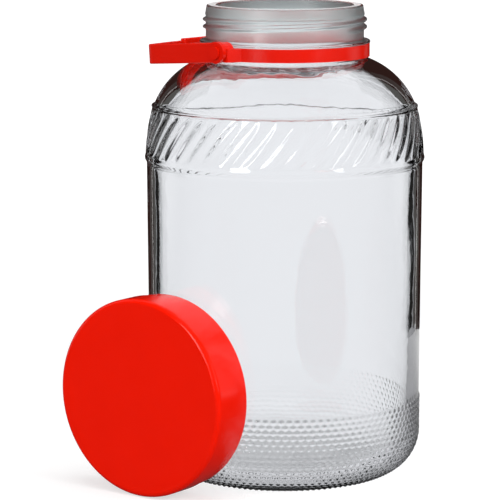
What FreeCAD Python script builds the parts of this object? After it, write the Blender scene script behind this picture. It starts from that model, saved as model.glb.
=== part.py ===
import FreeCAD, Part

# Glass storage jar with a screw lid taken off and a plastic carry handle, in millimetres.
# The origin is the centre of the jar's base, +Z is up and -Y points at one of the two handle
# pivots. The handle lies folded out towards -X, and the lid stands on its edge against the wall.

import math
import os

import Sketcher

Vector = FreeCAD.Vector

SIZES = {
    # Jar: outer shell, from the ground up.
    "jar_height": 292.4,        # ground to the top of the mouth
    "body_radius": 85.6,        # outer wall just under the shoulder
    "wall_taper": 1.2,          # radius lost down to the corner
    "corner_radius": 27.0,      # outer rounding between wall and base
    "wall_thickness": 7.0,
    "base_thickness": 8.0,
    # Jar: ridges and the fluted band.
    "ridge_out": 1.2,
    "ridge_tall": 3.0,          # wall up to the middle of the heavy ridge
    "ridge_flat": 0.6,          # half the height of its flat crest
    "ridge_sunk": 0.3,          # feet of both ridges inside the glass
    "band_rise": 2.1,           # middle of that ridge to where the flutes start
    "band_out": 0.72,           # foot of the fluted band outside the wall below
    "band_height": 32.5,        # lower ridge to upper ridge
    "band_lean": 4.3,           # radius lost over the fluted band
    "step_out": 0.5,            # fine ridge above the flutes
    "step_tall": 0.9,
    "step_in": 1.1,             # radius lost from the flutes to the foot of the shoulder
    "band_ease": 4.0,           # band's bulge: arc radius as a multiple of its chord
    "flute_pitch": 11.1,        # round the band, from one flute to the next
    "flute_depth": 1.1,
    "flute_radius": 7.0,        # radius of the tool that leaves one flute
    "flute_ease": 1.18,         # radius of the tool's path as a multiple of the band's
    "flute_reach": 0.843,       # length of that path as a share of the band's slanted height
    "flute_lean": 36.0,         # degrees from upright, rising towards +azimuth
    "flute_sag": 1.55,          # radius that the band has lost halfway up
    # Jar: shoulder and neck.
    "shoulder_height": 28.3,
    "shoulder_ease": 1.23,      # shoulder arc radius as a multiple of its chord
    "shoulder_drop": 2.45,      # foot of the shoulder: inner face below the outer one
    "neck_drop": 5.25,          # foot of the neck: inner face below the outer one
    "neck_height": 33.3,        # neck root to the top of the mouth
    "neck_radius": 48.8,
    "neck_wall": 6.3,
    "neck_root": 2.8,           # width of the small slope at the neck's foot
    "root_rise": 1.0,
    "flange_drop": 23.4,        # top of the mouth down to the flange's flat underside
    "flange_out": 3.9,
    "flange_thick": 1.7,
    "flange_slope": 1.0,
    "collar_tall": 6.6,         # plain lip above the thread
    "collar_out": 0.4,
    "collar_slope": 0.5,
    "lip_round": 1.1,
    "thread_start": 16.0,       # top of the mouth down to where each start begins
    "thread_lead": 9.0,
    "thread_turns": 1.15,
    "thread_out": 1.85,
    "thread_base": 3.0,
    "thread_tip": 0.7,
    "thread_sunk": 0.4,         # root of the ridge inside its wall
    # Neck band with its two pivots.
    "fit_gap": 0.3,             # seat clearance between neighbouring pieces
    "strap_ring_thick": 3.3,
    "strap_ring_tall": 8.0,
    "pivot_rise": 5.8,          # underside of the ring up to the pivot axis
    "lug_wide": 21.0,
    "lug_tip_wide": 14.0,
    "lug_out": 11.4,            # neck to the flat end of a lug
    "lug_sunk": 1.3,            # lug's root inside the ring
    "boss_radius": 6.0,
    "pin_radius": 3.2,
    "head_radius": 4.0,
    "head_thick": 1.3,
    # Carry handle.
    "handle_thick": 3.0,
    "handle_tall": 12.2,
    "eye_radius": 6.6,
    "pin_play": 0.25,
    "handle_spare": 7.9,        # outer face of the grip beyond the lid's radius
    "grip_curve": 170.0,        # radius of the grip's bow
    "corner_bend": 4.0,         # outer radius of the handle's corners
    "grip_wide": 44.0,
    "grip_tall": 14.6,
    "grip_thick": 4.2,
    "rim_round": 0.8,
    "handle_droop": 4.2,        # degrees below level at rest
    # Screw lid, standing on its edge.
    "lid_height": 29.0,
    "lid_round": 3.0,
    "lid_wall": 2.2,
    "lid_plate": 2.6,
    "lid_lip": 7.5,             # plain rim below the fine steps
    "lid_step": 0.45,
    "lid_step_rise": 3.2,
    "socket_play": 0.6,         # lid thread ring outside the neck thread
    "socket_wall": 2.4,
    "socket_inset": 6.0,        # rim to the start of the threaded ring
    "skirt_gap": 3.85,          # threaded ring to the lid's side wall
    "lid_turn": 6.0,            # degrees from -Y towards +X
    "lid_slide": -26.75,        # along the wall
}

TOP = "Sizes.jar_height"
NECK_ROOT_Z = f"({TOP} - Sizes.neck_height)"
SHOULDER_Z = f"({NECK_ROOT_Z} - Sizes.shoulder_height)"
BAND_Z = f"({SHOULDER_Z} - Sizes.band_height)"
WALL_TOP_Z = f"({BAND_Z} - Sizes.ridge_tall)"
LOW_RADIUS = "(Sizes.body_radius - Sizes.wall_taper)"
BAND_START_Z = f"({BAND_Z} + Sizes.band_rise)"
BAND_END_Z = f"({SHOULDER_Z} - Sizes.step_tall * 2)"
BAND_LOW_RADIUS = "(Sizes.body_radius + Sizes.band_out)"
BAND_TOP_RADIUS = f"({BAND_LOW_RADIUS} - Sizes.band_lean)"
SHOULDER_RADIUS = f"({BAND_TOP_RADIUS} - Sizes.step_in)"
FLANGE_Z = f"({TOP} - Sizes.flange_drop)"
RING_TOP_Z = f"({FLANGE_Z} - Sizes.fit_gap)"
RING_Z = f"({RING_TOP_Z} - Sizes.strap_ring_tall)"
PIVOT_Z = f"({RING_Z} + Sizes.pivot_rise)"
RING_INNER = "(Sizes.neck_radius + Sizes.fit_gap)"
MOUTH_RADIUS = "(Sizes.neck_radius - Sizes.neck_wall)"
LUG_REACH = "(Sizes.neck_radius + Sizes.lug_out)"
SOCKET_INNER = "(Sizes.neck_radius + Sizes.thread_out + Sizes.socket_play)"
SOCKET_OUTER = f"({SOCKET_INNER} + Sizes.socket_wall)"
LID_RADIUS = f"({SOCKET_OUTER} + Sizes.skirt_gap + Sizes.lid_wall + Sizes.lid_step * 2)"
HANDLE_REACH = f"({LID_RADIUS} + Sizes.handle_spare)"

doc = FreeCAD.newDocument("StorageJar")
sheet = doc.addObject("Spreadsheet::Sheet", "Sizes")
for row, (alias, size) in enumerate(SIZES.items(), start=1):
    sheet.set(f"A{row}", alias)
    sheet.set(f"B{row}", str(size))
    sheet.setAlias(f"B{row}", alias)
doc.recompute()


# Helpers -------------------------------------------------------------------------------------

def new_body(name):
    """A named body with its own origin."""
    body = doc.addObject("PartDesign::Body", name)
    body.Label = name
    return body


def origin_feature(body, role):
    """The body's own plane or axis with this role, such as XZ_Plane or Z_Axis."""
    return next(item for item in body.Origin.OriginFeatures if item.Role == role)


def new_sketch(body, name, plane, offset=None):
    """A sketch on one of the body's origin planes; offset maps placement paths to expressions."""
    sketch = body.newObject("Sketcher::SketchObject", name)
    sketch.AttachmentSupport = [(origin_feature(body, plane), "")]
    sketch.MapMode = "FlatFace"
    for path, expression in (offset or {}).items():
        sketch.setExpression(f"AttachmentOffset.{path}", expression)
    doc.recompute()
    return sketch


def bind_point(sketch, geo, end, x_size, y_size):
    """Hold one end of a sketch line at a place given by two expressions."""
    for kind, size in (("DistanceX", x_size), ("DistanceY", y_size)):
        value = float(sketch.evalExpression(size))
        if value == 0:
            axis = -2 if kind == "DistanceX" else -1
            sketch.addConstraint(Sketcher.Constraint("PointOnObject", geo, end, axis))
            continue
        index = sketch.addConstraint(Sketcher.Constraint(kind, -1, 1, geo, end, value))
        sketch.setExpression(f"Constraints[{index}]", size)


def arc_between(start, finish, radius, turn):
    """The short arc of this radius; turn is 1 when it runs anticlockwise from start to finish."""
    chord = finish - start
    middle = (start + finish) * 0.5
    side = Vector(-chord.y, chord.x, 0).normalize() * turn
    height = math.sqrt(max(radius ** 2 - (chord.Length / 2) ** 2, 0.0))
    centre = middle + side * height
    top = centre + (middle - centre).normalize() * radius if height > 1e-9 else middle - side * radius
    return Part.Arc(start, top, finish)


def closed_profile(sketch, corners):
    """Draw a closed outline; each corner is (x, y) or (x, y, radius, turn) for an arc that leaves it."""
    points = [Vector(float(sketch.evalExpression(c[0])), float(sketch.evalExpression(c[1])), 0)
              for c in corners]
    ends = []
    for i, corner in enumerate(corners):
        start = points[i]
        finish = points[(i + 1) % len(points)]
        if len(corner) == 2:
            geo = sketch.addGeometry(Part.LineSegment(start, finish), False)
            ends.append((geo, 1, 2))
            continue
        radius = float(sketch.evalExpression(corner[2]))
        geo = sketch.addGeometry(arc_between(start, finish, radius, corner[3]), False)
        index = sketch.addConstraint(Sketcher.Constraint("Radius", geo, radius))
        sketch.setExpression(f"Constraints[{index}]", corner[2])
        ends.append((geo, 1, 2) if corner[3] > 0 else (geo, 2, 1))
    for i, (geo, first, last) in enumerate(ends):
        after, after_first, _ = ends[(i + 1) % len(ends)]
        sketch.addConstraint(Sketcher.Constraint("Coincident", geo, last, after, after_first))
        bind_point(sketch, geo, first, corners[i][0], corners[i][1])


def circle(sketch, x_size, y_size, radius_size):
    """One circle whose centre and radius are expressions."""
    x, y, radius = (float(sketch.evalExpression(e)) for e in (x_size, y_size, radius_size))
    geo = sketch.addGeometry(Part.Circle(Vector(x, y, 0), Vector(0, 0, 1), radius), False)
    index = sketch.addConstraint(Sketcher.Constraint("Radius", geo, radius))
    sketch.setExpression(f"Constraints[{index}]", radius_size)
    bind_point(sketch, geo, 3, x_size, y_size)


def revolve(body, name, sketch):
    """Turn a sketch once round its own vertical axis."""
    feature = body.newObject("PartDesign::Revolution", name)
    feature.Profile = sketch
    feature.ReferenceAxis = (sketch, ["V_Axis"])
    feature.Angle = 360
    doc.recompute()
    return feature


def polar_copies(body, name, features, count):
    """Repeat features evenly round the body's Z axis."""
    pattern = body.newObject("PartDesign::PolarPattern", name)
    pattern.Originals = features
    pattern.Axis = (origin_feature(body, "Z_Axis"), [""])
    pattern.Angle = 360
    pattern.setExpression("Occurrences", count)
    body.Tip = pattern
    doc.recompute()
    return pattern


# Glass jar -----------------------------------------------------------------------------------

def add_thread(body, name, wall_radius, outward, start_z):
    """Two helical ridges that stand out of (1) or into (-1) the bore of a wall of this radius."""
    sunk = f"({wall_radius} - {outward} * Sizes.thread_sunk)"
    crest = f"({wall_radius} + {outward} * Sizes.thread_out)"
    section = new_sketch(body, name + "Section", "XZ_Plane")
    closed_profile(section, [
        (sunk, f"({start_z} - Sizes.thread_base / 2)"),
        (crest, f"({start_z} - Sizes.thread_tip / 2)"),
        (crest, f"({start_z} + Sizes.thread_tip / 2)"),
        (sunk, f"({start_z} + Sizes.thread_base / 2)"),
    ])
    ridge = body.newObject("PartDesign::AdditiveHelix", name)
    ridge.Profile = section
    ridge.ReferenceAxis = (section, ["V_Axis"])
    ridge.Mode = 0
    ridge.setExpression("Pitch", "Sizes.thread_lead")
    ridge.setExpression("Height", "Sizes.thread_lead * Sizes.thread_turns")
    doc.recompute()
    polar_copies(body, name + "Starts", [ridge], "2")


def cut_flutes(body):
    """Shallow grooves that lean round the band between the two ridges."""
    middle_z = f"(({BAND_START_Z} + {BAND_END_Z}) / 2)"
    middle_radius = f"({BAND_LOW_RADIUS} - Sizes.flute_sag)"
    path = f"({middle_radius} * Sizes.flute_ease)"
    length = "(Sizes.flute_reach * Sizes.band_height / cos(Sizes.flute_lean * 1deg))"
    plane = {
        "Base.y": middle_z,
        "Rotation.Axis.x": "1",
        "Rotation.Axis.y": "0",
        "Rotation.Axis.z": "0",
        "Rotation.Angle": "90 - Sizes.flute_lean",
    }
    section = new_sketch(body, "FluteSection", "XZ_Plane", plane)
    tool_x = f"({middle_radius} - Sizes.flute_depth + Sizes.flute_radius)"
    circle(section, tool_x, "0", "Sizes.flute_radius")
    axis_x = f"({middle_radius} - {path})"
    ends = [Vector(float(section.evalExpression(axis_x)), side, 0) for side in (-1, 1)]
    axis = section.addGeometry(Part.LineSegment(*ends), True)
    bind_point(section, axis, 1, axis_x, "-Sizes.flute_radius")
    bind_point(section, axis, 2, axis_x, "Sizes.flute_radius")
    flute = body.newObject("PartDesign::Groove", "Flute")
    flute.Profile = section
    flute.ReferenceAxis = (section, ["Axis0"])
    flute.Midplane = True
    flute.setExpression("Angle", f"{length} / {path} * 180 / pi")
    doc.recompute()
    polar_copies(body, "Flutes", [flute], f"round(2 * pi * {middle_radius} / Sizes.flute_pitch)")


def add_ridges(body):
    """The heavy ridge below the flutes and the fine one above, which close off the flutes' ends."""
    ridge_radius = "(Sizes.body_radius + Sizes.ridge_out)"
    step_radius = f"({BAND_TOP_RADIUS} + Sizes.step_out)"
    low_core = "(Sizes.body_radius - Sizes.flute_depth * 2)"
    high_core = f"({SHOULDER_RADIUS} - Sizes.flute_depth)"
    low = new_sketch(body, "LowRidgeSection", "XZ_Plane")
    closed_profile(low, [
        (low_core, WALL_TOP_Z),
        ("(Sizes.body_radius - Sizes.ridge_sunk)", WALL_TOP_Z),
        (ridge_radius, f"({BAND_Z} - Sizes.ridge_flat)"),
        (ridge_radius, f"({BAND_Z} + Sizes.ridge_flat)"),
        (f"({BAND_LOW_RADIUS} - Sizes.ridge_sunk)", BAND_START_Z),
        (low_core, BAND_START_Z),
    ])
    revolve(body, "LowRidge", low)
    high = new_sketch(body, "HighRidgeSection", "XZ_Plane")
    closed_profile(high, [
        (high_core, BAND_END_Z),
        (f"({BAND_TOP_RADIUS} - Sizes.ridge_sunk)", BAND_END_Z),
        (step_radius, f"({SHOULDER_Z} - Sizes.step_tall)"),
        (step_radius, f"({SHOULDER_Z} - Sizes.step_tall / 2)"),
        (f"({SHOULDER_RADIUS} - Sizes.ridge_sunk)", SHOULDER_Z),
        (high_core, SHOULDER_Z),
    ])
    revolve(body, "HighRidge", high)


def chord(x1, y1, x2, y2):
    """Expression for the distance between two places."""
    return f"sqrt(({x1} - {x2}) ^ 2 + ({y1} - {y2}) ^ 2)"


def build_jar():
    """One thick glass shell, turned, then fluted and threaded."""
    body = new_body("jar_glass")
    wall = "Sizes.wall_thickness"
    neck_foot_radius = "(Sizes.neck_radius + Sizes.neck_root)"
    collar_z = f"({TOP} - Sizes.collar_tall)"
    inner_low = f"({LOW_RADIUS} - {wall})"
    inner_corner = f"(Sizes.corner_radius - {wall})"
    shoulder_chord = chord(SHOULDER_RADIUS, SHOULDER_Z, neck_foot_radius, NECK_ROOT_Z)
    shoulder_arc = f"{shoulder_chord} * Sizes.shoulder_ease"
    inner_shoulder = (f"({SHOULDER_RADIUS} - {wall})", f"({SHOULDER_Z} - Sizes.shoulder_drop)")
    inner_neck = (MOUTH_RADIUS, f"({NECK_ROOT_Z} - Sizes.neck_drop)")
    inner_arc = f"{chord(*inner_shoulder, *inner_neck)} * Sizes.shoulder_ease"
    band_chord = chord(BAND_LOW_RADIUS, BAND_START_Z, BAND_TOP_RADIUS, BAND_END_Z)
    outline = [
        ("0", "0"),
        (f"({LOW_RADIUS} - Sizes.corner_radius)", "0", "Sizes.corner_radius", 1),
        (LOW_RADIUS, "Sizes.corner_radius"),
        ("Sizes.body_radius", WALL_TOP_Z),
        (BAND_LOW_RADIUS, BAND_START_Z, f"{band_chord} * Sizes.band_ease", 1),
        (BAND_TOP_RADIUS, BAND_END_Z),
        (SHOULDER_RADIUS, SHOULDER_Z, shoulder_arc, 1),
        (neck_foot_radius, NECK_ROOT_Z),
        ("Sizes.neck_radius", f"({NECK_ROOT_Z} + Sizes.root_rise)"),
        ("Sizes.neck_radius", FLANGE_Z),
        ("(Sizes.neck_radius + Sizes.flange_out)", FLANGE_Z),
        ("(Sizes.neck_radius + Sizes.flange_out)", f"({FLANGE_Z} + Sizes.flange_thick)"),
        ("Sizes.neck_radius", f"({FLANGE_Z} + Sizes.flange_thick + Sizes.flange_slope)"),
        ("Sizes.neck_radius", collar_z),
        ("(Sizes.neck_radius + Sizes.collar_out)", f"({collar_z} + Sizes.collar_slope)"),
        ("(Sizes.neck_radius - Sizes.collar_out)", f"({TOP} - Sizes.lip_round)", "Sizes.lip_round", 1),
        ("(Sizes.neck_radius - Sizes.collar_out - Sizes.lip_round)", TOP),
        (f"({MOUTH_RADIUS} + Sizes.lip_round)", TOP, "Sizes.lip_round", 1),
        (MOUTH_RADIUS, f"({TOP} - Sizes.lip_round)"),
        (*inner_neck, inner_arc, -1),
        (*inner_shoulder,),
        (f"(Sizes.body_radius - {wall})", WALL_TOP_Z),
        (inner_low, f"(Sizes.base_thickness + {inner_corner})", inner_corner, -1),
        (f"({inner_low} - {inner_corner})", "Sizes.base_thickness"),
        ("0", "Sizes.base_thickness"),
    ]
    section = new_sketch(body, "JarSection", "XZ_Plane")
    closed_profile(section, outline)
    revolve(body, "JarShell", section)
    cut_flutes(body)
    add_ridges(body)
    add_thread(body, "NeckThread", "Sizes.neck_radius", 1, f"({TOP} - Sizes.thread_start)")
    return body


# Neck band -----------------------------------------------------------------------------------

def pad(body, name, sketch, length, reversed_side=False, midplane=False):
    """Extrude a sketch by an expression's length."""
    feature = body.newObject("PartDesign::Pad", name)
    feature.Profile = sketch
    feature.setExpression("Length", length)
    feature.Reversed = reversed_side
    feature.Midplane = midplane
    doc.recompute()
    return feature


def build_band():
    """A ring under the jar's flange with two lugs, each carrying a headed pivot pin."""
    body = new_body("neck_band")
    body.setExpression("Placement.Base.z", PIVOT_Z)
    ring_low = "(-Sizes.pivot_rise)"
    ring_high = "(Sizes.strap_ring_tall - Sizes.pivot_rise)"
    ring_outer = f"({RING_INNER} + Sizes.strap_ring_thick)"
    section = new_sketch(body, "RingSection", "XZ_Plane")
    closed_profile(section, [
        (RING_INNER, ring_low),
        (ring_outer, ring_low),
        (ring_outer, ring_high),
        (RING_INNER, ring_high),
    ])
    revolve(body, "Ring", section)

    plan = new_sketch(body, "LugPlan", "XY_Plane", {"Base.z": ring_low})
    lug_root = f"({ring_outer} - Sizes.lug_sunk)"
    closed_profile(plan, [
        ("(-Sizes.lug_wide / 2)", f"(-{lug_root})"),
        ("(-Sizes.lug_tip_wide / 2)", f"(-{LUG_REACH})"),
        ("(Sizes.lug_tip_wide / 2)", f"(-{LUG_REACH})"),
        ("(Sizes.lug_wide / 2)", f"(-{lug_root})"),
    ])
    lug = pad(body, "Lug", plan, "Sizes.strap_ring_tall")

    flange_edge = "(Sizes.neck_radius + Sizes.flange_out + Sizes.fit_gap)"
    eye_outer = f"({LUG_REACH} + Sizes.fit_gap + Sizes.handle_thick + Sizes.fit_gap)"
    turned = []
    for name, start, finish, radius in (
            ("Boss", flange_edge, LUG_REACH, "Sizes.boss_radius"),
            ("Pin", LUG_REACH, eye_outer, "Sizes.pin_radius"),
            ("PinHead", eye_outer, f"({eye_outer} + Sizes.head_thick)", "Sizes.head_radius")):
        disc = new_sketch(body, name + "Circle", "XZ_Plane", {"Base.z": start})
        circle(disc, "0", "0", radius)
        turned.append(pad(body, name, disc, f"{finish} - {start}"))

    polar_copies(body, "BothSides", [lug, *turned], "2")
    return body


# Carry handle --------------------------------------------------------------------------------

def build_handle():
    """A flat strap bent to a U, with an eye on each end and a bowed grip."""
    body = new_body("carry_handle")
    body.setExpression("Placement.Base.z", PIVOT_Z)
    body.Placement.Rotation = FreeCAD.Rotation(Vector(0, 1, 0), -1)
    body.setExpression("Placement.Rotation.Angle", "-Sizes.handle_droop")

    thick = "Sizes.handle_thick"
    inner = f"({LUG_REACH} + Sizes.fit_gap)"
    outer = f"({inner} + {thick})"
    bend = "Sizes.corner_bend"
    curve = "Sizes.grip_curve"
    # The grip's arc and each corner's arc share a tangent on the line through their centres.
    grip_centre = f"({curve} - {HANDLE_REACH})"
    apart = f"({curve} - {bend})"
    across = f"({outer} - {bend})"
    along = f"sqrt({apart} ^ 2 - {across} ^ 2)"
    corner_x = f"({grip_centre} - {along})"

    def tangent(radius):
        """Where the corner meets the grip, on the grip's arc of this radius."""
        return f"({grip_centre} - {radius} * {along} / {apart})", f"({radius} * {across} / {apart})"

    outer_x, outer_y = tangent(curve)
    inner_curve = f"({curve} - {thick})"
    inner_bend = f"({bend} - {thick})"
    inner_x, inner_y = tangent(inner_curve)
    plan = new_sketch(body, "StrapPlan", "XY_Plane")
    closed_profile(plan, [
        ("0", f"(-{outer})"),
        ("0", f"(-{inner})"),
        (corner_x, f"(-{inner})", inner_bend, -1),
        (inner_x, f"(-{inner_y})", inner_curve, -1),
        (inner_x, inner_y, inner_bend, -1),
        (corner_x, inner),
        ("0", inner),
        ("0", outer),
        (corner_x, outer, bend, 1),
        (outer_x, outer_y, curve, 1),
        (outer_x, f"(-{outer_y})", bend, 1),
        (corner_x, f"(-{outer})"),
    ])
    strap = pad(body, "Strap", plan, "Sizes.handle_tall", midplane=True)
    soften_rims(body, strap, "Sizes.handle_tall / 2", lambda edge: abs(edge.CenterOfMass.x) > 1e-6)

    half_width = "(Sizes.grip_wide / 2)"
    extra = f"((Sizes.grip_thick - {thick}) / 2)"
    far_arc = f"({curve} + {extra})"
    near_arc = f"({inner_curve} - {extra})"
    far_x = f"({grip_centre} - sqrt({far_arc} ^ 2 - {half_width} ^ 2))"
    near_x = f"({grip_centre} - sqrt({near_arc} ^ 2 - {half_width} ^ 2))"
    grip_plan = new_sketch(body, "GripPlan", "XY_Plane")
    closed_profile(grip_plan, [
        (far_x, half_width, far_arc, 1),
        (far_x, f"(-{half_width})"),
        (near_x, f"(-{half_width})", near_arc, -1),
        (near_x, half_width),
    ])
    grip = pad(body, "Grip", grip_plan, "Sizes.grip_tall", midplane=True)
    soften_rims(body, grip, "Sizes.grip_tall / 2", lambda edge: True)

    eye_circle = new_sketch(body, "EyeCircle", "XZ_Plane", {"Base.z": inner})
    circle(eye_circle, "0", "0", "Sizes.eye_radius")
    eye = pad(body, "Eye", eye_circle, thick)
    bore_circle = new_sketch(body, "BoreCircle", "XZ_Plane", {"Base.z": f"{inner} + {thick} / 2"})
    circle(bore_circle, "0", "0", "Sizes.pin_radius + Sizes.pin_play")
    bore = body.newObject("PartDesign::Pocket", "Bore")
    bore.Profile = bore_circle
    bore.Midplane = True
    bore.setExpression("Length", f"{thick} * 2")
    doc.recompute()
    polar_copies(body, "BothEnds", [eye, bore], "2")
    return body


def soften_rims(body, feature, height, wanted):
    """Round the wanted edges that lie level, at this height above and below the middle."""
    level = float(feature.evalExpression(height))
    rims = [f"Edge{number}" for number, edge in enumerate(feature.Shape.Edges, start=1)
            if all(abs(abs(vertex.Z) - level) < 1e-6 for vertex in edge.Vertexes) and wanted(edge)]
    rounding = body.newObject("PartDesign::Fillet", feature.Name + "Rounding")
    rounding.Base = (feature, rims)
    rounding.setExpression("Radius", "Sizes.rim_round")
    body.Tip = rounding
    doc.recompute()


# Screw lid -----------------------------------------------------------------------------------

def build_lid():
    """A deep cap with a threaded ring inside, standing on its edge against the jar."""
    body = new_body("screw_lid")
    radius = LID_RADIUS
    lip_radius = f"({radius} - Sizes.lid_step * 2)"
    height = "Sizes.lid_height"
    ceiling = f"({height} - Sizes.lid_plate)"
    step = "Sizes.lid_step"
    section = new_sketch(body, "LidSection", "XZ_Plane")
    closed_profile(section, [
        ("0", height),
        ("0", ceiling),
        (SOCKET_INNER, ceiling),
        (SOCKET_INNER, "Sizes.socket_inset"),
        (SOCKET_OUTER, "Sizes.socket_inset"),
        (SOCKET_OUTER, ceiling),
        (f"({lip_radius} - Sizes.lid_wall)", ceiling),
        (f"({lip_radius} - Sizes.lid_wall)", "0"),
        (lip_radius, "0"),
        (lip_radius, "Sizes.lid_lip"),
        (f"({radius} - {step})", f"(Sizes.lid_lip + {step})"),
        (f"({radius} - {step})", "(Sizes.lid_lip + Sizes.lid_step_rise)"),
        (radius, f"(Sizes.lid_lip + Sizes.lid_step_rise + {step})"),
        (radius, f"({height} - Sizes.lid_round)", "Sizes.lid_round", 1),
        (f"({radius} - Sizes.lid_round)", height),
    ])
    revolve(body, "LidShell", section)
    add_thread(body, "LidThread", SOCKET_INNER, -1, "(Sizes.socket_inset + Sizes.thread_base)")

    # The lid's axis lies level and points away from the jar; its rim all but touches the wall.
    contact_z = f"(2 * {radius})"
    lean = f"(Sizes.wall_taper * ({WALL_TOP_Z} - {contact_z}) / ({WALL_TOP_Z} - Sizes.corner_radius))"
    away = f"(Sizes.body_radius - {lean} + Sizes.fit_gap)"
    turn = "(Sizes.lid_turn * 1deg)"
    body.Placement.Rotation = FreeCAD.Rotation(Vector(1, 0, 0), 90)
    body.setExpression("Placement.Rotation.Axis.x", f"cos({turn})")
    body.setExpression("Placement.Rotation.Axis.y", f"sin({turn})")
    body.setExpression("Placement.Base.x", f"{away} * sin({turn}) + Sizes.lid_slide * cos({turn})")
    body.setExpression("Placement.Base.y", f"-{away} * cos({turn}) + Sizes.lid_slide * sin({turn})")
    body.setExpression("Placement.Base.z", radius)
    doc.recompute()
    return body


def write_parts(bodies):
    """Check every object, then write one STEP file for each body."""
    for item in doc.Objects:
        if {"Invalid", "Error"} & set(item.State):
            raise RuntimeError(f"{item.Name} did not build: {item.State}")
    for body in bodies:
        if body.Shape.isNull() or not body.Shape.isValid() or len(body.Shape.Solids) != 1:
            raise RuntimeError(f"{body.Label} is not one valid solid")
    os.makedirs("parts", exist_ok=True)
    for body in bodies:
        body.Shape.exportStep(f"parts/{body.Label}.step")
        print(body.Label, round(body.Shape.Volume / 1000, 1), "cm3")


write_parts([build_jar(), build_band(), build_handle(), build_lid()])
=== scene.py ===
import math

import bpy
import numpy as np
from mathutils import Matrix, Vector


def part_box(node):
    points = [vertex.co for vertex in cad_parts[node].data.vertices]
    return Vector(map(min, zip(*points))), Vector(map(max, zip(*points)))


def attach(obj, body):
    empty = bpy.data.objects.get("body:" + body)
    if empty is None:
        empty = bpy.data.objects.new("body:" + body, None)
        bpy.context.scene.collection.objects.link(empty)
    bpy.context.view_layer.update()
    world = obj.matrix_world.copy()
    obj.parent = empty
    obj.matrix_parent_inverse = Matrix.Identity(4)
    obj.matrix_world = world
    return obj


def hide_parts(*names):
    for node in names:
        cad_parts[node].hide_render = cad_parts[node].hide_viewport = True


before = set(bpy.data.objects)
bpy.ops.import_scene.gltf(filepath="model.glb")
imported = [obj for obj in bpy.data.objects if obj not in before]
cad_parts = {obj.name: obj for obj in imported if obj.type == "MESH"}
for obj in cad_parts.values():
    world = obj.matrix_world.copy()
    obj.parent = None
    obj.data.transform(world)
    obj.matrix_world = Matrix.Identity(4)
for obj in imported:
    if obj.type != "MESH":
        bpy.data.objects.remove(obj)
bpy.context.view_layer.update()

# Glass storage jar with a plastic neck band, carry handle and screw lid. Metres, CAD frame.
MM = 0.001
JAR_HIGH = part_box("jar_glass")[1]
TOP = JAR_HIGH.z / MM                      # the profile below is in millimetres
RIDGE = JAR_HIGH.x / MM                    # outermost radius, on the heavy ridge

# Jar profile.
RIDGE_OUT = 1.2                            # how far the heavy ridge stands out
BODY = RIDGE - RIDGE_OUT                   # wall just under the band
TAPER = 1.2                                # how much narrower the wall is at its foot
FOOT = BODY - TAPER
CORNER = 27.0
WALL = 7.0
BASE = 8.0
BASE_RECESS = 1.0
BASE_CROWN = 0.6                           # rise of the inside's floor towards its middle
NECK = 48.8
MOUTH = NECK - 6.3
NECK_FOOT = TOP - 33.3
SHOULDER_Z = NECK_FOOT - 28.3
BAND_Z = SHOULDER_Z - 32.5                 # middle of the heavy ridge
WALL_TOP = BAND_Z - 3.0
BAND_START = BAND_Z + 2.1
BAND_END = SHOULDER_Z - 1.8
BAND_LOW = BODY + 0.72
BAND_HIGH = BAND_LOW - 4.3
SHOULDER = BAND_HIGH - 1.1
SHOULDER_FOOT = NECK + 2.8
SHOULDER_ROUND = 1.23                      # radius of the shoulder's arc over its chord
FLANGE = NECK + 3.9
FLANGE_Z = TOP - 23.4
COLLAR_Z = TOP - 6.6
COLLAR_TOP = NECK - 0.4
LIP = 1.1

# Relief.
FLUTES = 48
FLUTE_DEPTH = 1.1
FLUTE_HALF_WIDTH = 4.3
FLUTE_LEAN = math.radians(36.0)
FLUTE_SAG = 1.55                           # how far the band's middle lies inside its foot
DOTS_ROUND = 112
DOT_ROW = 3.3                              # between rows, up the profile
DOT_HIGH = 0.8
DOT_RADIUS = 1.5
DOT_GIRTH_RADIUS = 82.0                    # radius at which the dots are as wide as tall
DOTS_TOP_Z = 52.3
KNURL_HIGH = 0.5
KNURL_STEP = 1.1                           # how far the knurls move on from ring to ring
OUTSIDE_WAVE = 0.05                        # unevenness of the glass
INSIDE_WAVE = 0.16
THREAD_LOW_Z = TOP - 14.6
THREAD_LEAD = 9.0
THREAD_TURNS = 1.15
THREAD_FADE = 0.06                         # run-out at each end, in turns
THREAD_OUT = 1.85
THREAD_HALF_TALL = 1.45

# Points round the axis.
COARSE, FINE, RIDGES = 192, 576, 288
KNURLED, DOTTED, INSIDE = 336, 448, 144


# Shapes --------------------------------------------------------------------------------------

def arc_points(start, finish, radius, turn, count):
    """Points of the short arc between two profile points, both ends included.

    turn is 1 or -1 and picks the side of the chord that the centre lies on."""
    start, finish = np.array(start, float), np.array(finish, float)
    chord = finish - start
    length = np.hypot(*chord)
    side = np.array([-chord[1], chord[0]]) / length * turn
    centre = (start + finish) / 2 + side * math.sqrt(max(radius ** 2 - length ** 2 / 4, 0.0))
    a0 = math.atan2(*(start - centre)[::-1])
    a1 = math.atan2(*(finish - centre)[::-1])
    sweep = (a1 - a0 + math.pi) % (2 * math.pi) - math.pi
    angles = [a0 + sweep * t for t in np.linspace(0, 1, count)]
    return [tuple(centre + radius * np.array([math.cos(a), math.sin(a)])) for a in angles]


def distance_between(start, finish):
    return math.hypot(start[0] - finish[0], start[1] - finish[1])


def line_points(start, finish, count):
    """Evenly spaced points of a straight run, both ends included."""
    return [tuple(p) for p in np.linspace(start, finish, count)]


def profile_normals(points):
    """Unit normals of a profile, to the right of its direction: outwards on the way up."""
    p = np.array(points, float)
    step = np.gradient(p, axis=0)
    normal = np.stack([step[:, 1], -step[:, 0]], axis=1)
    return normal / np.linalg.norm(normal, axis=1)[:, None]


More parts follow.
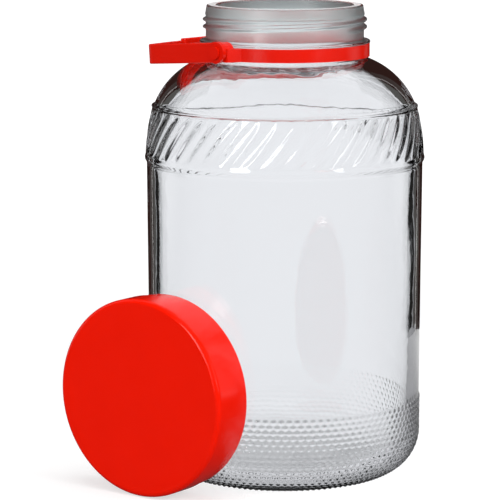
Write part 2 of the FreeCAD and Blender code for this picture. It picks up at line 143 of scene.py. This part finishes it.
class Shell:
    """A closed skin made of rings round the Z axis, each with its own number of points."""

    def __init__(self):
        self.points, self.faces, self.ring = [], [], None

    def centre(self, z):
        """A single point on the axis, which starts or closes the skin."""
        self.points.append((0.0, 0.0, z))
        first = len(self.points) - 1
        if self.ring is not None:
            self.fan(self.ring, first, closing=True)
        self.ring = [first]

    def fan(self, ring, tip, closing):
        """Triangles between a ring and one point."""
        for i, a in enumerate(ring):
            b = ring[(i + 1) % len(ring)]
            self.faces.append((a, b, tip) if closing else (tip, b, a))

    def add(self, radius, height):
        """One more ring; radius and height are arrays round the axis."""
        count = len(radius)
        angle = 2 * np.pi * np.arange(count) / count
        first = len(self.points)
        self.points.extend(zip(radius * np.cos(angle), radius * np.sin(angle), height))
        ring = list(range(first, first + count))
        if self.ring is not None:
            self.join(self.ring, ring)
        self.ring = ring

    def join(self, low, high):
        """Faces between two rings, which may have different numbers of points."""
        if len(low) == 1:
            self.fan(high, low[0], closing=False)
            return
        n, m = len(low), len(high)
        if n == m:
            for i in range(n):
                j = (i + 1) % n
                self.faces.append((low[i], low[j], high[j], high[i]))
            return
        i = j = 0
        while i < n or j < m:
            if j >= m or (i < n and (i + 1) * m <= (j + 1) * n):
                self.faces.append((low[i % n], low[(i + 1) % n], high[j % m]))
                i += 1
            else:
                self.faces.append((low[i % n], high[(j + 1) % m], high[j % m]))
                j += 1

    def zone(self, points, count, relief=None):
        """Rings along a stretch of profile; relief(angle, row, z) moves them along the normal."""
        normal = profile_normals(points)
        angle = 2 * np.pi * np.arange(count) / count
        for row, ((r, z), (nr, nz)) in enumerate(zip(points, normal)):
            out = relief(angle, row, z) if relief else np.zeros(count)
            self.add(r + nr * out, z + nz * out)

    def mesh(self, name):
        data = bpy.data.meshes.new(name)
        data.from_pydata([(x * MM, y * MM, z * MM) for x, y, z in self.points], [], self.faces)
        data.validate()
        data.update()
        for polygon in data.polygons:
            polygon.use_smooth = True
        piece = bpy.data.objects.new(name, data)
        bpy.context.scene.collection.objects.link(piece)
        return piece


def smooth(x):
    """A soft step from 0 to 1."""
    x = np.clip(x, 0.0, 1.0)
    return x * x * (3 - 2 * x)


def waves(angle, z, size, seed):
    """Slow unevenness of moulded glass, about -1 to 1 times size."""
    count = 9
    rng = np.random.default_rng(seed)
    total = np.zeros_like(angle)
    for _ in range(count):
        turns, length = rng.integers(2, 9), rng.uniform(38, 150)
        a, b = rng.uniform(0, 2 * np.pi, 2)
        total += np.cos(turns * angle + a) * np.cos(2 * np.pi * z / length + b)
    return total / 4 * size


def dot_relief(angle, along, first_row, last_row, height=DOT_HIGH):
    """Staggered raised dots; along is the distance up the profile."""
    row = along / DOT_ROW
    out = np.zeros_like(angle)
    for k in (math.floor(row), math.floor(row) + 1):
        if not first_row <= k <= last_row:
            continue
        u = angle / (2 * np.pi) * DOTS_ROUND + 0.5 * (k % 2)
        across = (u - np.round(u)) * 2 * np.pi * DOT_GIRTH_RADIUS / DOTS_ROUND
        up = (row - k) * DOT_ROW
        distance = np.sqrt(across ** 2 + up ** 2) / DOT_RADIUS
        out = np.maximum(out, height * smooth(1.15 - distance))
    return out


def flute_relief(angle, z):
    """Leaning grooves between the two ridges."""
    middle = (BAND_START + BAND_END) / 2
    half = (BAND_END - BAND_START) / 2
    radius = BAND_LOW - FLUTE_SAG
    up = z - middle
    u = (angle - up * math.tan(FLUTE_LEAN) / radius) / (2 * np.pi) * FLUTES
    across = (u - np.round(u)) * 2 * np.pi * radius / FLUTES * math.cos(FLUTE_LEAN)
    t = abs(up) / half
    width = FLUTE_HALF_WIDTH * math.sqrt(max(1 - t ** 3, 0.0)) + 1e-6
    return -FLUTE_DEPTH * (1 - t ** 4) * smooth(1.02 - (np.abs(across) / width) ** 1.6)


def thread_relief(angle, z):
    """Two helical ridges round the neck."""
    out = np.zeros_like(angle)
    for start in (0.0, math.pi):
        for lap in range(-1, 3):
            turns = (angle - start) / (2 * np.pi) + lap
            crest = THREAD_LOW_Z + turns * THREAD_LEAD
            fade = smooth(turns / THREAD_FADE) * smooth((THREAD_TURNS - turns) / THREAD_FADE)
            ridge = smooth(1.25 - np.abs(z - crest) / THREAD_HALF_TALL)
            out = np.maximum(out, THREAD_OUT * fade * ridge)
    return out


def base_and_foot(shell):
    """Underside with its knurled bearing ring, then the corner and the wall's foot with dots."""
    shell.centre(BASE_RECESS)
    shell.zone(line_points((6.0, BASE_RECESS), (40.0, BASE_RECESS), 10), 96)
    bearing = line_points((42.0, 0.2), (FOOT - CORNER - 0.8, 0.2), 14)
    shell.zone(bearing, KNURLED,
               lambda a, row, z: -KNURL_HIGH + dot_relief(a, row * KNURL_STEP, 0, 99, KNURL_HIGH))
    corner = arc_points((FOOT - CORNER, 0.0), (FOOT, CORNER), CORNER, 1, 52)
    foot = line_points((FOOT, CORNER + 0.83), (FOOT + 0.16, DOTS_TOP_Z), 28)
    steps = np.diff(np.array(corner + foot), axis=0)
    along = np.concatenate([[0], np.cumsum(np.hypot(*steps.T))])
    top_row = math.floor(along[-1] / DOT_ROW) - 1
    shell.zone(corner + foot, DOTTED, lambda a, row, z: dot_relief(a, along[row], 2, top_row))


def wall_and_band(shell):
    """Plain wall, heavy ridge, fluted band and fine ridge."""
    wall = line_points((FOOT + 0.18, 55.0), (BODY - 0.03, WALL_TOP - 3.0), 14)
    shell.zone(wall, COARSE, lambda a, row, z: waves(a, z, OUTSIDE_WAVE, 5))
    ridge = [(BODY, WALL_TOP), (BODY + 0.35, WALL_TOP + 0.7), (RIDGE - 0.15, BAND_Z - 1.0),
             (RIDGE, BAND_Z - 0.3), (RIDGE, BAND_Z + 0.3), (RIDGE - 0.15, BAND_Z + 0.9),
             (BAND_LOW + 0.1, BAND_START - 0.3)]
    shell.zone(ridge, RIDGES)
    ends = (BAND_LOW, BAND_START), (BAND_HIGH, BAND_END)
    band = arc_points(*ends, distance_between(*ends) * 4, 1, 34)
    shell.zone(band, FINE, lambda a, row, z: flute_relief(a, z))
    step = [(BAND_HIGH + 0.35, SHOULDER_Z - 1.2), (BAND_HIGH + 0.5, SHOULDER_Z - 0.8),
            (BAND_HIGH + 0.4, SHOULDER_Z - 0.4), (SHOULDER + 0.5, SHOULDER_Z - 0.1)]
    shell.zone(step, RIDGES)


def shoulder_and_neck(shell):
    """Shoulder, neck with its flange and threads, collar and lip."""
    ends = (SHOULDER, SHOULDER_Z), (SHOULDER_FOOT, NECK_FOOT)
    count = 22
    shoulder = arc_points(*ends, distance_between(*ends) * SHOULDER_ROUND, 1, count)
    shell.zone(shoulder, COARSE,
               lambda a, row, z: waves(a, z, OUTSIDE_WAVE, 6) * (0 < row < count - 1))
    neck = [(SHOULDER_FOOT - 1.4, NECK_FOOT + 0.25), (NECK + 0.5, NECK_FOOT + 0.6),
            (NECK, NECK_FOOT + 1.3), (NECK, NECK_FOOT + 5.0), (NECK, FLANGE_Z - 0.3),
            (NECK + 0.4, FLANGE_Z), (FLANGE - 0.5, FLANGE_Z), (FLANGE, FLANGE_Z + 0.4),
            (FLANGE, FLANGE_Z + 1.2), (FLANGE - 0.6, FLANGE_Z + 1.7), (NECK + 1.0, FLANGE_Z + 2.0),
            (NECK + 0.2, FLANGE_Z + 2.6)]
    shell.zone(neck, COARSE)
    threads = line_points((NECK, FLANGE_Z + 3.2), (NECK, COLLAR_Z - 0.3), 31)
    shell.zone(threads, RIDGES, lambda a, row, z: thread_relief(a, z))
    collar = [(NECK + 0.1, COLLAR_Z), (NECK + 0.35, COLLAR_Z + 0.4), (NECK + 0.4, COLLAR_Z + 0.9),
              (NECK - 0.1, TOP - 3.0)]
    lip = arc_points((COLLAR_TOP, TOP - LIP), (COLLAR_TOP - LIP, TOP), LIP, 1, 6)
    rim = line_points((COLLAR_TOP - LIP - 0.5, TOP), (MOUTH + LIP + 0.5, TOP), 4)
    inner_lip = arc_points((MOUTH + LIP, TOP), (MOUTH, TOP - LIP), LIP, 1, 6)
    shell.zone(collar + lip + rim + inner_lip, COARSE)


def inner_side(shell):
    """The inside, from the mouth down to the middle of the base."""
    inner_body, inner_foot, inner_corner = BODY - WALL, FOOT - WALL, CORNER - WALL
    shoulder = (SHOULDER - WALL, SHOULDER_Z - 2.45)
    neck = (MOUTH, NECK_FOOT - 5.25)
    arch = distance_between(shoulder, neck) * SHOULDER_ROUND
    inside = line_points((MOUTH, TOP - LIP - 0.8), (MOUTH, neck[1] + 1.0), 14)
    inside += arc_points(neck, shoulder, arch, -1, 14)
    inside += arc_points((SHOULDER - WALL + 0.05, SHOULDER_Z - 4.0), (inner_body, WALL_TOP),
                         150.0, -1, 10)
    inside += line_points((inner_body, WALL_TOP - 4.0), (inner_foot, CORNER + 3.0), 14)
    inside += arc_points((inner_foot, BASE + inner_corner), (FOOT - CORNER, BASE),
                         inner_corner, -1, 12)
    inside += line_points((FOOT - CORNER - 4.0, BASE), (5.0, BASE + BASE_CROWN), 12)
    shell.zone(inside, INSIDE, lambda a, row, z: waves(a, z, INSIDE_WAVE, 7) * (row > 3))
    shell.centre(BASE + BASE_CROWN + 0.1)


def build_jar():
    """The whole glass skin, in one closed run from the underside to the inside of the base."""
    shell = Shell()
    base_and_foot(shell)
    wall_and_band(shell)
    shoulder_and_neck(shell)
    inner_side(shell)
    return shell.mesh("jar_shell")


# Materials -----------------------------------------------------------------------------------

def new_material(name):
    material = bpy.data.materials.new(name)
    material.use_nodes = True
    tree = material.node_tree
    tree.nodes.clear()
    return material, tree, tree.nodes.new("ShaderNodeOutputMaterial")


def node(tree, kind, **values):
    """A new node with these values in its sockets; underscores in their names stand for spaces."""
    made = tree.nodes.new(kind)
    for key, value in values.items():
        made.inputs[key.replace("_", " ")].default_value = value
    return made


def math_node(tree, operation, *values):
    """One calculation over sockets and numbers."""
    made = node(tree, "ShaderNodeMath")
    made.operation = operation
    for socket, value in zip(made.inputs, values):
        if isinstance(value, (int, float)):
            socket.default_value = value
        else:
            tree.links.new(value, socket)
    return made


def times(tree, *values):
    total = values[0]
    for value in values[1:]:
        total = math_node(tree, "MULTIPLY", total, value).outputs[0]
    return total


def plus(tree, *values):
    total = values[0]
    for value in values[1:]:
        total = math_node(tree, "ADD", total, value).outputs[0]
    return total


def ramp(tree, value, start, end, low, high, kind="SMOOTHSTEP"):
    """A value from low at start to high at end."""
    made = node(tree, "ShaderNodeMapRange", From_Min=start, From_Max=end, To_Min=low, To_Max=high)
    made.interpolation_type = kind
    tree.links.new(value, made.inputs["Value"])
    return made.outputs["Result"]


def mix_colour(tree, factor, first, second):
    made = node(tree, "ShaderNodeMix")
    made.data_type = "RGBA"
    made.inputs["A"].default_value = first
    made.inputs["B"].default_value = second
    tree.links.new(factor, made.inputs["Factor"])
    return made.outputs["Result"]


def mix_shader(tree, factor, first, second):
    """The first shader where factor is 0, and the second where it is 1."""
    made = node(tree, "ShaderNodeMixShader")
    for value, socket in zip((factor, first, second), made.inputs):
        tree.links.new(value, socket)
    return made.outputs["Shader"]


def coordinates(tree, kind="Object"):
    return node(tree, "ShaderNodeTexCoord").outputs[kind]


def part_of(tree, vector, axis):
    """One axis of a vector."""
    split = node(tree, "ShaderNodeSeparateXYZ")
    tree.links.new(vector, split.inputs[0])
    return split.outputs[axis]


def noise(tree, scale, detail, low=0.0, high=1.0):
    """Noise in object space, mapped to low..high."""
    cloud = node(tree, "ShaderNodeTexNoise", Scale=scale, Detail=detail)
    tree.links.new(coordinates(tree), cloud.inputs["Vector"])
    return ramp(tree, cloud.outputs["Fac"], 0.0, 1.0, low, high, "LINEAR")


def ripple(tree, scale, strength, distance):
    """A normal for a slightly uneven surface."""
    bump = node(tree, "ShaderNodeBump", Strength=strength, Distance=distance)
    tree.links.new(noise(tree, scale, 2.0), bump.inputs["Height"])
    return bump.outputs["Normal"]


def between(tree, low, high, edge):
    """1 for heights from low to high in millimetres, with soft ends."""
    height = part_of(tree, coordinates(tree), "Z")
    rise, fall = [ramp(tree, height, (level - edge / 2) * MM, (level + edge / 2) * MM, first, last)
                  for level, first, last in ((low, 0.0, 1.0), (high, 1.0, 0.0))]
    return times(tree, rise, fall)


CLEAR = (0.985, 0.99, 0.985, 1)
FROSTED = (0.88, 0.98, 0.96, 1)
GLASS_DEPTH = (0.64, 0.65, 0.66, 1)        # what thick glass lets through
COLLAR_ROUGH, THREAD_ROUGH, THREAD_TINT = 0.42, 0.3, 0.7


def glass_material():
    """Clear glass, which the moulded threads and collar make milky."""
    material, tree, out = new_material("clear_glass")
    glass = node(tree, "ShaderNodeBsdfPrincipled", IOR=1.52, Transmission_Weight=1.0)
    collar = between(tree, COLLAR_Z - 0.6, TOP - 0.8, 0.8)
    threads = between(tree, FLANGE_Z + 1.5, COLLAR_Z - 0.6, 0.8)
    milky = plus(tree, collar, times(tree, threads, THREAD_TINT))
    rough = plus(tree, times(tree, collar, COLLAR_ROUGH), times(tree, threads, THREAD_ROUGH))
    tree.links.new(mix_colour(tree, milky, CLEAR, FROSTED), glass.inputs["Base Color"])
    tree.links.new(rough, glass.inputs["Roughness"])
    tree.links.new(ripple(tree, 55.0, 0.25, 0.0004), glass.inputs["Normal"])
    # Lamps shine straight through, so the jar has only a faint shadow.
    shadow = node(tree, "ShaderNodeLightPath").outputs["Is Shadow Ray"]
    clear = node(tree, "ShaderNodeBsdfTransparent")
    tree.links.new(mix_shader(tree, shadow, glass.outputs["BSDF"], clear.outputs["BSDF"]),
                   out.inputs["Surface"])
    volume = node(tree, "ShaderNodeVolumeAbsorption", Color=GLASS_DEPTH, Density=12.0)
    tree.links.new(volume.outputs["Volume"], out.inputs["Volume"])
    return material


def plastic_material(name, colour, deep, roughness):
    """Glossy moulded polypropylene: slight mottling, soft sheen and fine surface ripple."""
    material, tree, out = new_material(name)
    plastic = node(tree, "ShaderNodeBsdfPrincipled", IOR=1.49, Specular_IOR_Level=0.25)
    mottle = mix_colour(tree, noise(tree, 45.0, 3.0), (*deep, 1), (*colour, 1))
    tree.links.new(mottle, plastic.inputs["Base Color"])
    tree.links.new(noise(tree, 160.0, 2.0, roughness - 0.04, roughness + 0.05),
                   plastic.inputs["Roughness"])
    tree.links.new(ripple(tree, 90.0, 0.2, 0.0002), plastic.inputs["Normal"])
    tree.links.new(plastic.outputs["BSDF"], out.inputs["Surface"])
    return material


def show(piece, material):
    piece.data.materials.clear()
    piece.data.materials.append(material)


jar = build_jar()
show(jar, glass_material())
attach(jar, "jar")
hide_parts("jar_glass")

# The band and handle are the same red plastic as the lid, given a darker base colour: painted
# shade.
LID_RED, LID_DEEP_RED = (0.86, 0.0085, 0.0006), (0.80, 0.0075, 0.0004)
SHADED_BAND_RED, SHADED_BAND_DEEP_RED = (0.69, 0.0075, 0.0008), (0.64, 0.0066, 0.0006)
show(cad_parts["screw_lid"], plastic_material("red_plastic", LID_RED, LID_DEEP_RED, 0.13))
shaded_band_plastic = plastic_material("red_plastic_band_shaded", SHADED_BAND_RED, SHADED_BAND_DEEP_RED, 0.24)
for name in ("neck_band", "carry_handle"):
    show(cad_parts[name], shaded_band_plastic)


# Stage ---------------------------------------------------------------------------------------

CAMERA_PLACE = (1.1128, -1.2681, 0.4122)
CAMERA_AIM = Vector((-0.6605, 0.7336, -0.1599))
VIEW = Vector((CAMERA_AIM.x, CAMERA_AIM.y, 0.0)).normalized()      # level, away from the camera
SIDE = Vector((-VIEW.y, VIEW.x, 0.0)) * -1.0                       # camera right
BACKDROP = (0.94, 0.948, 0.995, 1.0)       # the white background, as glass shows it
WHITE = (1.0, 1.0, 1.0, 1.0)
LAMP_AIM = 0.16                            # height that the lamps are aimed at


def upward(height):
    return Vector((0, 0, height))


def past_object(angle):
    """Level direction past the object, turned to the camera's right by this many degrees."""
    turn = math.radians(angle)
    return VIEW * math.cos(turn) + SIDE * math.sin(turn)


def stage_mesh(name, corners, material):
    """One flat piece of the stage."""
    data = bpy.data.meshes.new(name)
    data.from_pydata([tuple(c) for c in corners], [], [tuple(range(len(corners)))])
    piece = bpy.data.objects.new(name, data)
    bpy.context.scene.collection.objects.link(piece)
    show(piece, material)
    return piece


def ray_kind(tree, kind):
    return node(tree, "ShaderNodeLightPath").outputs[kind]


def mirror_ray(tree):
    """1 for rays that a surface mirrors; Is Glossy Ray alone also holds for clear glass."""
    outside = math_node(tree, "SUBTRACT", ray_kind(tree, "Is Glossy Ray"),
                        ray_kind(tree, "Is Transmission Ray"))
    outside.use_clamp = True
    return outside.outputs[0]


def inside_wall(tree):
    """1 for rays that met the glass twice: inside one wall, or in at the mouth and out."""
    depth = ray_kind(tree, "Transmission Depth")
    return math_node(tree, "COMPARE", depth, 2.0, 0.5).outputs[0]


def wall_or_mirror(tree):
    return plus(tree, inside_wall(tree), mirror_ray(tree))


def near_object(tree, near, far, low, high):
    """A value that goes from low to high with the distance from the jar's axis."""
    distance = node(tree, "ShaderNodeVectorMath")
    distance.operation = "LENGTH"
    tree.links.new(coordinates(tree), distance.inputs[0])
    return ramp(tree, distance.outputs["Value"], near, far, low, high)


def far_side(tree, place, low):
    """A value from low on the camera's side of the object to 1 well behind it."""
    along = node(tree, "ShaderNodeVectorMath")
    along.operation = "DOT_PRODUCT"
    along.inputs[1].default_value = VIEW
    tree.links.new(place, along.inputs[0])
    return ramp(tree, along.outputs["Value"], 0.0, 0.5, low, 1.0)


def soft_middle(tree):
    """1 in the middle of a panel's width, falling softly to 0 at its edges."""
    across = part_of(tree, coordinates(tree, "Generated"), "X")
    return times(tree, *[ramp(tree, across, edge, 0.5, 0.0, 1.0) for edge in (0.0, 1.0)])


def floor_material():
    """Pale floor: matte under the lamps, and white to the camera well away from the object."""
    material, tree, out = new_material("pale_floor")
    matte = node(tree, "ShaderNodeBsdfDiffuse", Color=(0.42, 0.42, 0.42, 1))
    glow = node(tree, "ShaderNodeEmission")
    both = node(tree, "ShaderNodeAddShader")
    white = times(tree, ray_kind(tree, "Is Camera Ray"), near_object(tree, 0.25, 1.6, 0.62, 1.0))
    tree.links.new(white, glow.inputs["Strength"])
    tree.links.new(matte.outputs["BSDF"], both.inputs[0])
    tree.links.new(glow.outputs["Emission"], both.inputs[1])
    # Through glass: darker under the jar, a painted shadow, and darker to rays from inside its
    # wall.
    painted_jar_shadow = times(tree, near_object(tree, 0.035, 0.085, 0.5, 1.0),
                      near_object(tree, 0.09, 0.2, 0.85, 1.0))
    from_wall = times(tree, inside_wall(tree), near_object(tree, 0.09, 0.13, 0.0, 1.0))
    dark_edge = ramp(tree, from_wall, 0.0, 1.0, 1.0, 0.4, "LINEAR")
    through = node(tree, "ShaderNodeEmission", Color=BACKDROP)
    tree.links.new(times(tree, painted_jar_shadow, dark_edge), through.inputs["Strength"])
    seen = mix_shader(tree, ray_kind(tree, "Is Transmission Ray"), both.outputs["Shader"],
                      through.outputs["Emission"])
    # In mirrors: the white background behind the object, and a dark room before it.
    mirrored = node(tree, "ShaderNodeEmission")
    tree.links.new(far_side(tree, coordinates(tree), 0.05), mirrored.inputs["Strength"])
    tree.links.new(mix_shader(tree, mirror_ray(tree), seen, mirrored.outputs["Emission"]),
                   out.inputs["Surface"])
    return material


def panel_material(name, colour, cover):
    """A panel of this colour where cover(tree) gives 1, and clear where it gives 0."""
    material, tree, out = new_material(name)
    glow = node(tree, "ShaderNodeEmission", Color=(*colour, 1))
    clear = node(tree, "ShaderNodeBsdfTransparent")
    tree.links.new(mix_shader(tree, cover(tree), clear.outputs["BSDF"], glow.outputs["Emission"]),
                   out.inputs["Surface"])
    return material


def backdrop_panel(name, start, end, distance, low, high, material):
    """An upright panel behind the object that spans these angles, from height low to high.

    Only glass and mirrors show it."""
    first, second = past_object(start) * distance, past_object(end) * distance
    panel = stage_mesh(name, [first + upward(low), second + upward(low),
                              second + upward(high), first + upward(high)], material)
    panel.visible_camera = False
    panel.visible_diffuse = False
    panel.visible_shadow = False
    panel.visible_volume_scatter = False


REACH, FLOOR_Z = 9, -0.0003
stage_mesh("floor", [(x, y, FLOOR_Z) for x, y in ((-REACH, -REACH), (REACH, -REACH),
                                                  (REACH, REACH), (-REACH, REACH))],
           floor_material())

# The backdrop's dark frame, which draws the edges of the glass as in a studio. The soft outer
# panels show through the whole glass and in mirrors, and the others in mirrors and to rays
# that ran inside one wall of the glass.
PANEL_AWAY, PANEL_TOP = 0.5, 0.75
PANELS = (
    # label, first and last angle, distance, lowest and highest point, material
    ("brown", 8.0, 34.0, PANEL_AWAY, 0.0, PANEL_TOP,
     panel_material("brown_backdrop", (0.03, 0.013, 0.011), wall_or_mirror)),
    ("grey", 34.0, 41.5, PANEL_AWAY, 0.0, PANEL_TOP,
     panel_material("grey_backdrop", (0.12, 0.12, 0.115), wall_or_mirror)),
    ("black", 43.5, 64.0, PANEL_AWAY, 0.0, PANEL_TOP,
     panel_material("black_backdrop", (0.004, 0.004, 0.004), wall_or_mirror)),
    ("side", 42.0, 76.0, 0.64, 0.12, 0.6,
     panel_material("black_side", (0.01, 0.01, 0.01), soft_middle)),
)
for hand, side in ((-1, "left"), (1, "right")):
    for label, start, end, *place, material in PANELS:
        backdrop_panel(f"backdrop_{label}_{side}", hand * start, hand * end, *place, material)


def studio_world():
    """White to the camera and through glass, dim as light, and in mirrors white only behind."""
    world = bpy.data.worlds.new("studio")
    bpy.context.scene.world = world
    world.use_nodes = True
    sky = world.node_tree
    background = sky.nodes["Background"]
    through_glass = ray_kind(sky, "Is Transmission Ray")
    mirrored = times(sky, mirror_ray(sky), far_side(sky, coordinates(sky, "Generated"), 0.03))
    light = times(sky, ray_kind(sky, "Is Diffuse Ray"), 0.32)
    sky.links.new(plus(sky, ray_kind(sky, "Is Camera Ray"), light, through_glass, mirrored),
                  background.inputs["Strength"])
    sky.links.new(mix_colour(sky, through_glass, WHITE, BACKDROP), background.inputs["Color"])


def softbox(name, turn, lift, distance, size, power, glossy=True):
    """An area lamp aimed at the object, turned from the camera's side by this many degrees."""
    lamp = bpy.data.lights.new(name, "AREA")
    lamp.shape = "RECTANGLE"
    lamp.size, lamp.size_y = size
    lamp.energy = power
    piece = bpy.data.objects.new(name, lamp)
    a, up = math.radians(turn), math.radians(lift)
    level = -VIEW * math.cos(a) + SIDE * math.sin(a)
    aim = upward(LAMP_AIM)
    piece.location = aim + level * distance * math.cos(up) + upward(distance * math.sin(up))
    piece.rotation_euler = (piece.location - aim).to_track_quat("Z", "Y").to_euler()
    bpy.context.scene.collection.objects.link(piece)
    piece.visible_camera = False
    piece.visible_transmission = False
    piece.visible_glossy = glossy


def photo_camera():
    """A long lens at the photograph's viewing angle."""
    lens = bpy.data.cameras.new("camera")
    lens.lens = 196.9
    lens.sensor_width = 36.0
    camera = bpy.data.objects.new("camera", lens)
    camera.location = CAMERA_PLACE
    camera.rotation_euler = CAMERA_AIM.to_track_quat("-Z", "Y").to_euler()
    bpy.context.scene.collection.objects.link(camera)
    return camera


studio_world()
softbox("softbox_left", -37, 17, 1.5, (0.4, 0.8), 8)
softbox("softbox_right", 44, 17, 1.6, (0.2, 0.8), 2.5)
softbox("fill_top", 0, 78, 1.6, (1.2, 1.2), 14, glossy=False)
softbox("fill_front", 5, 25, 1.6, (1.2, 1.2), 6.5, glossy=False)
softbox("fill_right", 62, 20, 1.6, (1.2, 1.2), 13, glossy=False)

bpy.context.scene.camera = photo_camera()
bpy.context.scene.view_settings.view_transform = "Standard"
bpy.context.scene.cycles.max_bounces = 20
bpy.context.scene.cycles.transmission_bounces = 20
bpy.context.scene.cycles.transparent_max_bounces = 16
